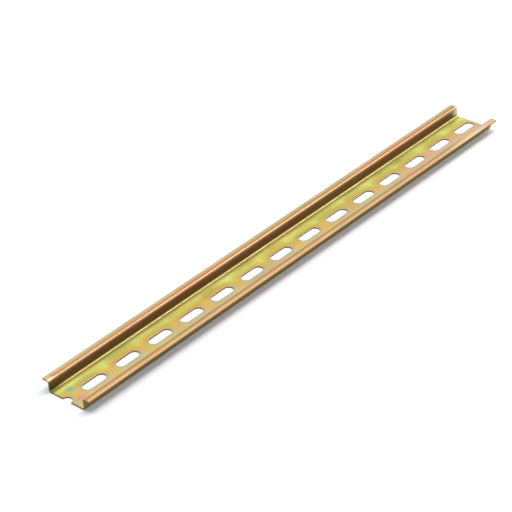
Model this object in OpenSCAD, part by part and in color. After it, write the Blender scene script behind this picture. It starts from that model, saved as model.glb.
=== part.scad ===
// Slotted top-hat mounting rail, cold formed from one strip of steel.
// The rail runs along X and lies on its base, with the origin in the middle of the underside.
// Its channel opens upwards, and its two flanges point along +Y and -Y.

/* [Rail] */
// Length of the rail between its cut ends
rail_length = 355; // [60:5:2000]
// Width over the tips of the two flanges
rail_width = 35; // [32:0.5:60]
// Height from the underside of the base to the top of the flanges
rail_height = 7.5; // [6:0.5:25]

/* [Strip] */
// Thickness of the steel strip
strip_thickness = 1; // [0.6:0.1:1.5]
// Width over the outsides of the two webs, where they leave the base
web_width = 27; // [20:0.5:28]
// Radius on the hollow side of each of the four bends
bend_radius = 0.8; // [0.2:0.1:1]
// Round left on the edges of the flange tips where the strip was slit
tip_round = 0.15; // [0.05:0.05:0.25]

/* [Slots] */
// Length of a fixing slot, end to end
slot_length = 16; // [12:0.5:20]
// Width of a fixing slot
slot_width = 6.2; // [4:0.1:8]
// Distance from one slot to the next, centre to centre
slot_pitch = 25; // [22:0.5:50]
// Distance from the first cut end to the centre of the first whole slot
first_slot = 20; // [12:0.5:30]

/* [Hidden] */
// Facets of a full circle
$fn = 64;
// How far a cutting tool runs past the faces that it cuts
overcut = 1;
// Radius on the outer side of a bend
outer_radius = bend_radius + strip_thickness;
// Centres of the two bends of one web, and the width of the flat flange beyond them
low_bend = [web_width / 2 - outer_radius, outer_radius];
high_bend = [web_width / 2 + bend_radius, rail_height - outer_radius];
flange_run = rail_width / 2 - high_bend[0];
// Straight distance between the end arcs of a slot
slot_run = slot_length - slot_width;
// The slots that fall on the rail, counting back from the first whole one to the cut-off one
first_index = -floor((first_slot + slot_length / 2) / slot_pitch);
last_index = floor((rail_length + slot_length / 2 - first_slot) / slot_pitch);

// A quarter of a bend's ring, in the corner that the two signs point to
module bend(side, up) {
    intersection() {
        difference() {
            circle(r = outer_radius);
            circle(r = bend_radius);
        }
        translate([side > 0 ? 0 : -outer_radius, up > 0 ? 0 : -outer_radius])
            square(outer_radius);
    }
}

// Flat flange with its slit edge, from the upper bend to the tip
module flange() {
    square([flange_run - tip_round, strip_thickness]);
    translate([0, tip_round])
        square([flange_run, strip_thickness - 2 * tip_round]);
    for (height = [tip_round, strip_thickness - tip_round])
        translate([flange_run - tip_round, height])
            circle(r = tip_round);
}

// Half of the rail's section, with x across the rail and y up
module half_section() {
    square([low_bend[0], strip_thickness]);
    translate(low_bend)
        bend(1, -1);
    translate([web_width / 2 - strip_thickness, low_bend[1]])
        square([strip_thickness, high_bend[1] - low_bend[1]]);
    translate(high_bend)
        bend(-1, 1);
    translate([high_bend[0], rail_height - strip_thickness])
        flange();
}

// Strip bent to the top-hat section, before it is punched
module formed_strip() {
    rotate([90, 0, 90])
        linear_extrude(rail_length, center = true)
            union() {
                half_section();
                mirror([1, 0])
                    half_section();
            }
}

// Punch for one slot, with its centre at the origin
module slot_punch() {
    depth = strip_thickness + 2 * overcut;
    translate([0, 0, -overcut]) {
        translate([-slot_run / 2, -slot_width / 2, 0])
            cube([slot_run, slot_width, depth]);
        for (end = [-1, 1])
            translate([end * slot_run / 2, 0, 0])
                cylinder(d = slot_width, h = depth);
    }
}

module rail() {
    color("darkkhaki")
        difference() {
            formed_strip();
            for (index = [first_index : last_index])
                translate([first_slot + index * slot_pitch - rail_length / 2, 0, 0])
                    slot_punch();
        }
}

rail();
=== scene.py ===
import math

import bmesh
import bpy
from mathutils import Euler, Matrix, Vector


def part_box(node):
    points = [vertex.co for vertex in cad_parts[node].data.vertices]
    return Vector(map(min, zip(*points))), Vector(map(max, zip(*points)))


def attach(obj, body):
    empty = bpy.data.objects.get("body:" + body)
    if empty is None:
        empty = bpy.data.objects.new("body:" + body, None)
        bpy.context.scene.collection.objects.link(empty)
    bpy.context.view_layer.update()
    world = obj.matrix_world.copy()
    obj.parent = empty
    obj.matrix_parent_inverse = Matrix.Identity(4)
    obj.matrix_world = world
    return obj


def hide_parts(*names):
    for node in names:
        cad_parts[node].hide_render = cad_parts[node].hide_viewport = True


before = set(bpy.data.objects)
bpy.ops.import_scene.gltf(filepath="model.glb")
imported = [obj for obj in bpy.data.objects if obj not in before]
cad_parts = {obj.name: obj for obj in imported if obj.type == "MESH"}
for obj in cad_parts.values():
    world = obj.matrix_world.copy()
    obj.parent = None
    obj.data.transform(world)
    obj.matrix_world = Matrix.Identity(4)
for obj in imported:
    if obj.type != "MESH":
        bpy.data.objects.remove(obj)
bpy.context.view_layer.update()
railLow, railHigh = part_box("rail")

mm = 0.001


def hexColour(text):
    # sRGB hex to the linear colour that a socket wants
    shares = [int(text[i:i + 2], 16) / 255 for i in (1, 3, 5)]
    return [s / 12.92 if s <= 0.04045 else ((s + 0.055) / 1.055) ** 2.4 for s in shares] + [1.0]


def addNode(tree, kind, settings=None, links=None):
    # settings are the node's own properties or its sockets, links are socket: output
    node = tree.nodes.new(kind)
    for name, value in (settings or {}).items():
        if name == "stops":
            ramp = node.color_ramp
            while len(ramp.elements) < len(value):
                ramp.elements.new(0.5)
            for stop, (place, colour) in zip(ramp.elements, value):
                stop.position = place
                stop.color = hexColour(colour)
        elif isinstance(name, str) and hasattr(node, name):
            setattr(node, name, value)
        else:
            node.inputs[name].default_value = hexColour(value) if isinstance(value, str) else value
    for name, output in (links or {}).items():
        tree.links.new(output, node.inputs[name])
    return node


def newMaterial(name):
    material = bpy.data.materials.new(name)
    material.use_nodes = True
    tree = material.node_tree
    tree.nodes.clear()
    return material, tree


def select(piece, kind, wanted):
    # kind is verts or edges, picked by the middle of each in edit mode
    bpy.ops.mesh.select_mode(type={"verts": "VERT", "edges": "EDGE"}[kind])
    bpy.ops.mesh.select_all(action="DESELECT")
    mesh = bmesh.from_edit_mesh(piece.data)
    for item in getattr(mesh, kind):
        corners = [item] if kind == "verts" else item.verts
        middle = sum((corner.co for corner in corners), Vector()) / len(corners)
        if wanted(item, middle):
            item.select_set(True)
    mesh.select_flush_mode()
    bmesh.update_edit_mesh(piece.data)


def applyModifier(piece, kind, **settings):
    modifier = piece.modifiers.new(kind.title(), kind)
    for name, value in settings.items():
        setattr(modifier, name, value)
    bpy.ops.object.modifier_apply(modifier=modifier.name)


# The rail is a strip punched with slots, formed to a top hat and cut to length.
rail = {
    "thickness": 1 * mm,
    "webWidth": 27 * mm,      # over the outsides of the webs
    "bendRadius": 0.8 * mm,   # on the hollow side
    "bendSteps": 8,
    "slotLength": 16 * mm,
    "slotWidth": 6.2 * mm,
    "slotPitch": 25 * mm,
    "firstSlot": 20 * mm,     # from the cut end at -X to the first whole slot
    "gridSteps": (14, 10),    # edges along and across one pitch of the base
    "slotRings": 2,           # rings of faces between a slot and the base's edge
    "dieRoll": 0.28 * mm,     # round that the punch pulls into a slot's upper rim
    "slitRound": 0.15 * mm,   # round on the flange tips
    "sawRound": 0.07 * mm,    # what deburring leaves on the rest
}


def makeRail(size):
    half = size["thickness"] / 2
    # the sheet is first made as its middle surface
    bend = size["bendRadius"] + half
    webY = size["webWidth"] / 2 - half
    lowBend = Vector((0, webY - bend, half + bend))
    highBend = Vector((0, webY + bend, railHigh.z - half - bend))
    flangeRun = railHigh.y - highBend.y
    slotRadius = size["slotWidth"] / 2
    slotShift = size["slotLength"] / 2 - slotRadius
    along, across = size["gridSteps"]

    # one pitch of the base: a square frame of edges round one slot
    bpy.ops.object.select_all(action="DESELECT")
    bpy.ops.mesh.primitive_grid_add(x_subdivisions=along, y_subdivisions=across, size=1)
    piece = bpy.context.object
    piece.name = piece.data.name = "formedRail"
    bpy.ops.object.mode_set(mode="EDIT")
    bpy.ops.transform.resize(value=(size["slotPitch"], 2 * lowBend.y, 1))
    inside = 0.49
    select(piece, "verts",
           lambda v, p: abs(p.x) < inside * size["slotPitch"] and abs(p.y) < 2 * inside * lowBend.y)
    bpy.ops.mesh.delete(type="VERT")
    points = 2 * (along + across)
    bpy.ops.mesh.primitive_circle_add(vertices=points, radius=slotRadius, rotation=(0, 0, math.pi / points))
    # the circle is pulled apart into the slot
    for side in (1, -1):
        select(piece, "verts",
               lambda v, p: side * p.x > 0 and p.length < 1.8 * slotRadius and abs(p.y) <= slotRadius)
        bpy.ops.transform.translate(value=(side * slotShift, 0, 0))
    bpy.ops.mesh.select_all(action="SELECT")
    bpy.ops.mesh.bridge_edge_loops(number_cuts=size["slotRings"], interpolation="LINEAR")
    bpy.ops.mesh.select_all(action="SELECT")
    bpy.ops.transform.translate(value=(0, 0, half))

    # the bends, webs and flanges
    for side in (1, -1):
        select(piece, "edges", lambda e, p: e.is_boundary and side * p.y > lowBend.y - 0.01 * mm)
        centre = Vector((0, side * lowBend.y, lowBend.z))
        bpy.ops.mesh.spin(steps=size["bendSteps"], angle=-side * math.pi / 2, center=centre, axis=(1, 0, 0))
        bpy.ops.mesh.extrude_region_move(TRANSFORM_OT_translate={"value": (0, 0, highBend.z - lowBend.z)})
        centre = Vector((0, side * highBend.y, highBend.z))
        bpy.ops.mesh.spin(steps=size["bendSteps"], angle=side * math.pi / 2, center=centre, axis=(1, 0, 0))
        bpy.ops.mesh.extrude_region_move(TRANSFORM_OT_translate={"value": (0, side * flangeRun, 0)})
    bpy.ops.mesh.select_all(action="SELECT")
    bpy.ops.mesh.remove_doubles(threshold=0.001 * mm)
    bpy.ops.mesh.normals_make_consistent(inside=False)

    # pitches in a row from the cut-off slot on, and the row cut to length
    start = railLow.x + size["firstSlot"] - size["slotPitch"]
    bpy.ops.transform.translate(value=(start, 0, 0))
    bpy.ops.object.mode_set(mode="OBJECT")
    count = math.ceil((railHigh.x - start) / size["slotPitch"]) + 1
    applyModifier(piece, "ARRAY", count=count, use_relative_offset=False, use_constant_offset=True,
                  constant_offset_displace=(size["slotPitch"], 0, 0), use_merge_vertices=True,
                  merge_threshold=0.01 * mm)
    bpy.ops.object.mode_set(mode="EDIT")
    for end, outward in ((railLow.x, -1), (railHigh.x, 1)):
        bpy.ops.mesh.select_all(action="SELECT")
        bpy.ops.mesh.bisect(plane_co=(end, 0, 0), plane_no=(outward, 0, 0), clear_outer=True)
    bpy.ops.object.mode_set(mode="OBJECT")
    print("rail: sheet formed,", len(piece.data.polygons), "faces")

    piece.data.materials.append(chromatedZinc(size))
    piece.data.materials.append(shearedEdge(size))
    applyModifier(piece, "SOLIDIFY", thickness=size["thickness"], offset=0, use_even_offset=True,
                  material_offset_rim=1)
    roundEdges(piece, size)
    bpy.ops.object.shade_smooth_by_angle(angle=math.radians(40))
    applyModifier(piece, "WEIGHTED_NORMAL", keep_sharp=True)
    print("rail: walls and rounded edges,", len(piece.data.polygons), "faces")
    return piece


def roundEdges(piece, size):
    # rim edges are those between the strip's faces and its cut edges
    top = size["thickness"]
    atEnd = lambda p: min(p.x - railLow.x, railHigh.x - p.x) < 0.001 * mm
    atTip = lambda p: abs(p.y) > railHigh.y - 0.001 * mm
    rounds = (
        (size["slitRound"], 2, lambda p: atTip(p) and not atEnd(p)),
        (size["dieRoll"], 3, lambda p: not atTip(p) and not atEnd(p) and p.z > 0.9 * top),
        (size["sawRound"], 1, lambda p: not atTip(p) and not atEnd(p) and p.z < 0.1 * top),
        (size["sawRound"], 1, atEnd),
    )
    bpy.ops.object.mode_set(mode="EDIT")
    for width, steps, place in rounds:
        def wanted(edge, middle):
            kinds = {face.material_index for face in edge.link_faces}
            return len(kinds) == 2 and place(middle)
        select(piece, "edges", wanted)
        bpy.ops.mesh.bevel(offset=width, segments=steps, material=0, clamp_overlap=True)
    bpy.ops.object.mode_set(mode="OBJECT")


# Yellow chromated zinc plating has a soft metal shine under a thin clear film, and the film's
# thickness gives its colour: orange where it is thin, gold, then green where it is thick. Painted shade,
# highlights and reflections lie over it on the webs, bends, slot rims and a few places.
zinc = {
    "film": (                 # from the thinnest film to the thickest
        (0.04, "#B8AC84"),
        (0.27, "#C3A862"),
        (0.39, "#C6A655"),
        (0.50, "#C9B054"),
        (0.63, "#C8C25E"),
        (0.78, "#CFD676"),
        (0.95, "#DDE48C"),
    ),
    "filmSpan": (-3 * mm, 16 * mm),   # what the ramp covers: the distance to a slot and a share of Y
    "filmSlope": 0.8,         # how much each step along +Y adds to that
    "filmDrift": 2.5 * mm,    # how far clouds in the film push it
    # painted reflection of each slot's rounded rim: a greyer band round the slot
    "rimSheen": ((0.0, "#B5B392"), (0.35, "#AD9E76"), (1.0, "#B09C6C")),
    "rimSheenReach": 1.8 * mm,
    "foldHighlight": "#C0B67E",        # painted highlight along the foot of a web
    "foldShadow": "#BDB254",  # and a painted reflection of the web as a darker band beside it
    "channelSideShading": (          # painted shade, reflection and highlight by height over the inner face of a web, from its foot
        (0.20, "#C0B07A"),
        (0.26, "#614E1F"),
        (0.45, "#684A2D"),
        (0.74, "#6E4C34"),
        (0.83, "#91684B"),
        (0.89, "#A8785A"),
        (0.945, "#CFA994"),
        (0.985, "#9C784E"),
    ),
    # painted shade over the outer face of a web, by height, with the same painted highlight on its bend
    "outerSideShading": (
        (0.10, "#A8935A"),
        (0.24, "#8E7650"),
        (0.50, "#927555"),
        (0.89, "#A8785A"),
        (0.945, "#CFA994"),
        (0.985, "#9C784E"),
    ),
    "farFlange": "#C7AA7F",
    "nearFlange": "#D2B082",
    "flangeShade": (          # across a flange, from its bend to its tip: painted shade, darkest at the tip
        (0.00, "#D9CDC0"),
        (0.35, "#EADFD2"),
        (0.60, "#FFFFFF"),
        (0.88, "#F6F6EE"),
        (1.00, "#A9AC98"),
    ),
    "bloom": ((0.30, "#FFEFE6"), (0.50, "#FFFFFF"), (0.70, "#F0FAE8")),
    # Placed tones: middle and reach in mm, strength and colour. The first two are dried drips,
    # the rest are painted reflections of surroundings that the plain studio does not reflect in the webs and
    # flanges.
    "stainsAndReflections": (
        ((-170.0, 4.8, 1), (4.4, 4.2, 1.2), 0.9, "#8FAE8E"),
        ((-171.5, -4.4, 1), (6.5, 3.2, 1.2), 0.9, "#C68C7E"),
        ((-177.5, 12.5, 2.4), (14, 2, 3.8), 0.95, "#4A4C12"),
        ((-177.5, 14.0, 7.5), (6, 3, 1.4), 0.7, "#E2CCA4"),
        ((178.5, 12.5, 4.6), (8, 2, 5.0), 1.0, "#CBC496"),
        ((160.0, -16.0, 7.5), (40, 5, 1.5), 0.5, "#E3CDB4"),
        ((140.0, -3.0, 1), (80, 9, 1.2), 0.35, "#D6A294"),
    ),
    "metallic": 0.75,         # under 1, so that the film scatters some light
    "roughness": 0.40,
    "cloudSize": (24, 7, 7),  # mm
    "bloomSize": (45, 6, 6),
    "streakSize": (60, 0.5, 0.5),
}


def chromatedZinc(size):
    material, tree = newMaterial("yellowChromatedZinc")
    place = addNode(tree, "ShaderNodeTexCoord").outputs["Object"]
    axes = addNode(tree, "ShaderNodeSeparateXYZ", links={0: place}).outputs

    # clouds in the film, drawn out along the rail
    stretched = addNode(tree, "ShaderNodeMapping", {"Scale": [1 / size for size in zinc["cloudSize"]]},
                        {0: place})
    cloud = addNode(tree, "ShaderNodeTexNoise", {"Scale": 1 / mm, "Detail": 3, "Roughness": 0.55},
                    {"Vector": stretched.outputs[0]}).outputs["Fac"]

    # distance to the nearest slot's rim
    fromSlot = addNode(tree, "ShaderNodeMath", {"operation": "SUBTRACT", 1: railLow.x + size["firstSlot"]},
                       {0: axes["X"]})
    inPitch = addNode(tree, "ShaderNodeMath", {"operation": "WRAP", 1: size["slotPitch"] / 2,
                      2: -size["slotPitch"] / 2}, {0: fromSlot.outputs[0]})
    alongSlot = addNode(tree, "ShaderNodeMath", {"operation": "ABSOLUTE"}, {0: inPitch.outputs[0]})
    pastArc = addNode(tree, "ShaderNodeMath", {"operation": "SUBTRACT",
                      1: (size["slotLength"] - size["slotWidth"]) / 2}, {0: alongSlot.outputs[0]})
    pastArc = addNode(tree, "ShaderNodeMath", {"operation": "MAXIMUM", 1: 0.0}, {0: pastArc.outputs[0]})
    across = addNode(tree, "ShaderNodeCombineXYZ", links={0: pastArc.outputs[0], 1: axes["Y"]})
    distance = addNode(tree, "ShaderNodeVectorMath", {"operation": "LENGTH"}, {0: across.outputs[0]})
    fromRim = addNode(tree, "ShaderNodeMath", {"operation": "SUBTRACT", 1: size["slotWidth"] / 2},
                      {0: distance.outputs["Value"]})

    # the base: film thickness, then a painted reflection round each slot's rim as a greyer band
    slope = addNode(tree, "ShaderNodeMath", {"operation": "MULTIPLY_ADD", 1: zinc["filmSlope"]},
                    {0: axes["Y"], 2: fromRim.outputs[0]})
    drift = addNode(tree, "ShaderNodeMapRange", {"From Min": 0.25, "From Max": 0.75,
                    "To Min": -zinc["filmDrift"], "To Max": zinc["filmDrift"]}, {"Value": cloud})
    thick = addNode(tree, "ShaderNodeMath", {"operation": "ADD"}, {0: slope.outputs[0], 1: drift.outputs[0]})
    thick = addNode(tree, "ShaderNodeMapRange", {"From Min": zinc["filmSpan"][0],
                    "From Max": zinc["filmSpan"][1]}, {"Value": thick.outputs[0]})
    film = addNode(tree, "ShaderNodeValToRGB", {"stops": zinc["film"]}, {"Fac": thick.outputs[0]})
    inRimSheen = addNode(tree, "ShaderNodeMapRange", {"From Max": zinc["rimSheenReach"]},
                      {"Value": fromRim.outputs[0]})
    rimSheen = addNode(tree, "ShaderNodeValToRGB", {"stops": zinc["rimSheen"]}, {"Fac": inRimSheen.outputs[0]})
    base = addNode(tree, "ShaderNodeMix", {"data_type": "RGBA"},
                   {0: inRimSheen.outputs[0], 6: rimSheen.outputs[0], 7: film.outputs[0]}).outputs[2]
    fromMiddle = addNode(tree, "ShaderNodeMath", {"operation": "ABSOLUTE"}, {0: axes["Y"]}).outputs[0]
    # painted highlight along the fold at each web's foot, and beside it a painted reflection of the web as a
    # darker band
    foldStart = size["webWidth"] / 2 - size["thickness"] - size["bendRadius"]
    inFoldHighlight = addNode(tree, "ShaderNodeMapRange", {"From Min": foldStart - 0.6 * mm, "From Max": foldStart},
                     {"Value": fromMiddle})
    besideFold = addNode(tree, "ShaderNodeMapRange", {"interpolation_type": "SMOOTHSTEP",
                         "From Min": foldStart - 3.2 * mm, "From Max": foldStart - 0.8 * mm},
                         {"Value": fromMiddle})
    base = addNode(tree, "ShaderNodeMix", {"data_type": "RGBA", 7: zinc["foldShadow"]},
                   {0: besideFold.outputs[0], 6: base}).outputs[2]
    base = addNode(tree, "ShaderNodeMix", {"data_type": "RGBA", 7: zinc["foldHighlight"]},
                   {0: inFoldHighlight.outputs[0], 6: base}).outputs[2]

    # webs by height, with painted shade, reflection and highlight, browner towards the channel, and the two
    # flanges
    height = addNode(tree, "ShaderNodeMapRange", {"From Max": railHigh.z}, {"Value": axes["Z"]})
    innerShading = addNode(tree, "ShaderNodeValToRGB", {"stops": zinc["channelSideShading"]}, {"Fac": height.outputs[0]})
    outerShading = addNode(tree, "ShaderNodeValToRGB", {"stops": zinc["outerSideShading"]}, {"Fac": height.outputs[0]})
    webMiddle = (size["webWidth"] - size["thickness"]) / 2
    turned = addNode(tree, "ShaderNodeMapRange", {"From Min": webMiddle - 0.1 * mm,
                     "From Max": webMiddle + 0.1 * mm}, {"Value": fromMiddle})
    web = addNode(tree, "ShaderNodeMix", {"data_type": "RGBA"},
                  {0: turned.outputs[0], 6: innerShading.outputs[0], 7: outerShading.outputs[0]})
    farSide = addNode(tree, "ShaderNodeMath", {"operation": "GREATER_THAN", 1: 0.0}, {0: axes["Y"]})
    flange = addNode(tree, "ShaderNodeMix", {"data_type": "RGBA", 6: zinc["nearFlange"],
                     7: zinc["farFlange"]}, {0: farSide.outputs[0]})
    flangeStart = size["webWidth"] / 2 + size["bendRadius"]
    onFlange = addNode(tree, "ShaderNodeMapRange", {"From Min": flangeStart - 0.3 * mm,
                       "From Max": flangeStart + 0.4 * mm}, {"Value": fromMiddle})
    acrossFlange = addNode(tree, "ShaderNodeMapRange", {"From Min": flangeStart, "From Max": railHigh.y},
                           {"Value": fromMiddle})
    shade = addNode(tree, "ShaderNodeValToRGB", {"stops": zinc["flangeShade"]},
                    {"Fac": acrossFlange.outputs[0]})
    flange = addNode(tree, "ShaderNodeMix", {"data_type": "RGBA", "blend_type": "MULTIPLY", 0: 1.0},
                     {6: flange.outputs[2], 7: shade.outputs[0]})
    sides = addNode(tree, "ShaderNodeMix", {"data_type": "RGBA"},
                    {0: onFlange.outputs[0], 6: web.outputs[2], 7: flange.outputs[2]})
    aboveBase = addNode(tree, "ShaderNodeMapRange", {"From Min": 1.02 * size["thickness"],
                        "From Max": 1.15 * size["thickness"]}, {"Value": axes["Z"]})
    colour = addNode(tree, "ShaderNodeMix", {"data_type": "RGBA"},
                     {0: aboveBase.outputs[0], 6: base, 7: sides.outputs[2]}).outputs[2]
    # the first two are real stains, the rest painted reflections
    for middle, reach, strength, tone in zinc["stainsAndReflections"]:
        spot = addNode(tree, "ShaderNodeMapping", {"vector_type": "TEXTURE", "Location": Vector(middle) * mm,
                       "Scale": Vector(reach) * mm}, {0: place})
        away = addNode(tree, "ShaderNodeVectorMath", {"operation": "LENGTH"}, {0: spot.outputs[0]})
        faded = addNode(tree, "ShaderNodeMapRange", {"interpolation_type": "SMOOTHSTEP", "From Min": 1.0,
                        "From Max": 0.2, "To Max": strength}, {"Value": away.outputs["Value"]})
        colour = addNode(tree, "ShaderNodeMix", {"data_type": "RGBA", 7: tone},
                         {0: faded.outputs[0], 6: colour}).outputs[2]

    # pink and green bloom over all of it
    wide = addNode(tree, "ShaderNodeMapping", {"Scale": [1 / size for size in zinc["bloomSize"]],
                   "Location": (3, 1, 2)}, {0: place})
    tint = addNode(tree, "ShaderNodeTexNoise", {"Scale": 1 / mm, "Detail": 4}, {"Vector": wide.outputs[0]})
    bloom = addNode(tree, "ShaderNodeValToRGB", {"stops": zinc["bloom"]}, {"Fac": tint.outputs["Fac"]})
    colour = addNode(tree, "ShaderNodeMix", {"data_type": "RGBA", "blend_type": "MULTIPLY", 0: 1.0},
                     {6: colour, 7: bloom.outputs[0]})

    # streaks from rolling, about 0.5 mm apart
    rolled = addNode(tree, "ShaderNodeMapping", {"Scale": [1 / size for size in zinc["streakSize"]]},
                     {0: place})
    streak = addNode(tree, "ShaderNodeTexNoise", {"Scale": 1 / mm, "Detail": 2},
                     {"Vector": rolled.outputs[0]})
    bump = addNode(tree, "ShaderNodeBump", {"Strength": 0.25, "Distance": 0.02 * mm},
                   {"Height": streak.outputs["Fac"]})
    gloss = addNode(tree, "ShaderNodeMapRange", {"From Min": 0.3, "From Max": 0.7,
                    "To Min": zinc["roughness"] - 0.05, "To Max": zinc["roughness"] + 0.09}, {"Value": cloud})
    shader = addNode(tree, "ShaderNodeBsdfPrincipled", {"Metallic": zinc["metallic"]},
                     {"Base Color": colour.outputs[2], "Roughness": gloss.outputs[0],
                      "Normal": bump.outputs[0]})
    addNode(tree, "ShaderNodeOutputMaterial", links={"Surface": shader.outputs[0]})
    return material


def shearedEdge(size):
    material, tree = newMaterial("shearedSteelEdge")
    place = addNode(tree, "ShaderNodeTexCoord").outputs["Object"]
    grain = addNode(tree, "ShaderNodeTexNoise", {"Scale": 2 / mm, "Detail": 3}, {"Vector": place})
    colour = addNode(tree, "ShaderNodeValToRGB", {"stops": ((0.3, "#5E5038"), (0.7, "#8A744A"))},
                     {"Fac": grain.outputs["Fac"]})
    bump = addNode(tree, "ShaderNodeBump", {"Strength": 0.4, "Distance": 0.05 * mm},
                   {"Height": grain.outputs["Fac"]})
    shader = addNode(tree, "ShaderNodeBsdfPrincipled", {"Metallic": 1.0, "Roughness": 0.5},
                     {"Base Color": colour.outputs[0], "Normal": bump.outputs[0]})
    addNode(tree, "ShaderNodeOutputMaterial", links={"Surface": shader.outputs[0]})
    return material


formedRail = makeRail(rail)
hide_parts("rail")
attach(formedRail, "root")


studio = {
    "floorSize": 3.0,
    "floorColour": "#F2F2F2",
    "floorGlow": 0.10,        # what the camera and reflections see on top of the floor's own light
    "fill": 0.50,             # the world's light on the object
    "fillColour": "#CDE4FF",
    "keyPlace": (0, 0.42, 2.0),
    "keySize": (1.4, 1.4),
    "keyPower": 25.5,
    "keyColour": "#FFF9EC",
    "stripPlace": (0.76, -0.12, 0.95),   # a strip light along the rail, for the shine on its bends
    "stripSize": (1.0, 0.36),
    "stripPower": 8.0,
    "stripColour": "#FFF6F0",
}


def makeStudio(look):
    bpy.ops.object.select_all(action="DESELECT")
    bpy.ops.mesh.primitive_plane_add(size=look["floorSize"])
    floor = bpy.context.object
    floor.name = "studioFloor"
    material, tree = newMaterial("palePaper")
    path = addNode(tree, "ShaderNodeLightPath").outputs
    seen = addNode(tree, "ShaderNodeMath", {"operation": "MAXIMUM"},
                   {0: path["Is Camera Ray"], 1: path["Is Glossy Ray"]})
    seen = addNode(tree, "ShaderNodeMath", {"operation": "MAXIMUM"},
                   {0: seen.outputs[0], 1: path["Is Transmission Ray"]})
    glow = addNode(tree, "ShaderNodeMath", {"operation": "MULTIPLY", 1: look["floorGlow"]},
                   {0: seen.outputs[0]})
    paper = addNode(tree, "ShaderNodeBsdfPrincipled", {"Base Color": look["floorColour"], "Roughness": 0.9,
                    "Emission Color": "#FFFFFF"}, {"Emission Strength": glow.outputs[0]})
    addNode(tree, "ShaderNodeOutputMaterial", links={"Surface": paper.outputs[0]})
    floor.data.materials.append(material)

    world = bpy.data.worlds.new("softStudio")
    world.use_nodes = True
    tree = world.node_tree
    tree.nodes.clear()
    path = addNode(tree, "ShaderNodeLightPath").outputs
    seen = addNode(tree, "ShaderNodeMath", {"operation": "MAXIMUM"},
                   {0: path["Is Camera Ray"], 1: path["Is Glossy Ray"]})
    seen = addNode(tree, "ShaderNodeMath", {"operation": "MAXIMUM"},
                   {0: seen.outputs[0], 1: path["Is Transmission Ray"]})
    soft = addNode(tree, "ShaderNodeBackground", {"Color": look["fillColour"], "Strength": look["fill"]})
    white = addNode(tree, "ShaderNodeBackground", {"Color": "#FFFFFF", "Strength": 1.0})
    both = addNode(tree, "ShaderNodeMixShader",
                   links={0: seen.outputs[0], 1: soft.outputs[0], 2: white.outputs[0]})
    addNode(tree, "ShaderNodeOutputWorld", links={"Surface": both.outputs[0]})
    bpy.context.scene.world = world

    for lamp in ("key", "strip"):
        addLamp(lamp, *(look[lamp + part] for part in ("Place", "Size", "Power", "Colour")))


def addLamp(name, place, size, power, colour):
    # turned to the rail about X alone, so that a long lamp lies along it
    lean = math.atan2(place[1], place[2])
    bpy.ops.object.light_add(type="AREA", location=place, rotation=(-lean, 0, 0))
    lamp = bpy.context.object
    lamp.name = name + "Light"
    lamp.data.shape = "RECTANGLE"
    lamp.data.size, lamp.data.size_y = size
    lamp.data.energy = power
    lamp.data.color = hexColour(colour)[:3]


camera = {
    "lens": 137.0,            # mm, on a sensor 36 mm wide
    "heading": -46.1,         # degrees from +Y
    "tilt": 33.1,             # degrees down
    "roll": -4.6,
    "aim": (-21.1 * mm, 6.9 * mm, 3.7 * mm),
    "distance": 1.105,
}


def makeCamera(view):
    turn = Euler((math.radians(90 - view["tilt"]), 0, math.radians(view["heading"]))).to_matrix()
    turn = turn @ Matrix.Rotation(math.radians(view["roll"]), 3, "Z")
    place = Vector(view["aim"]) + turn.col[2] * view["distance"]
    bpy.ops.object.camera_add(location=place, rotation=turn.to_euler())
    bpy.context.object.data.lens = view["lens"]
    bpy.context.scene.camera = bpy.context.object


makeStudio(studio)
makeCamera(camera)
bpy.context.scene.view_settings.view_transform = "Standard"
print("studio: floor, light and camera in place")
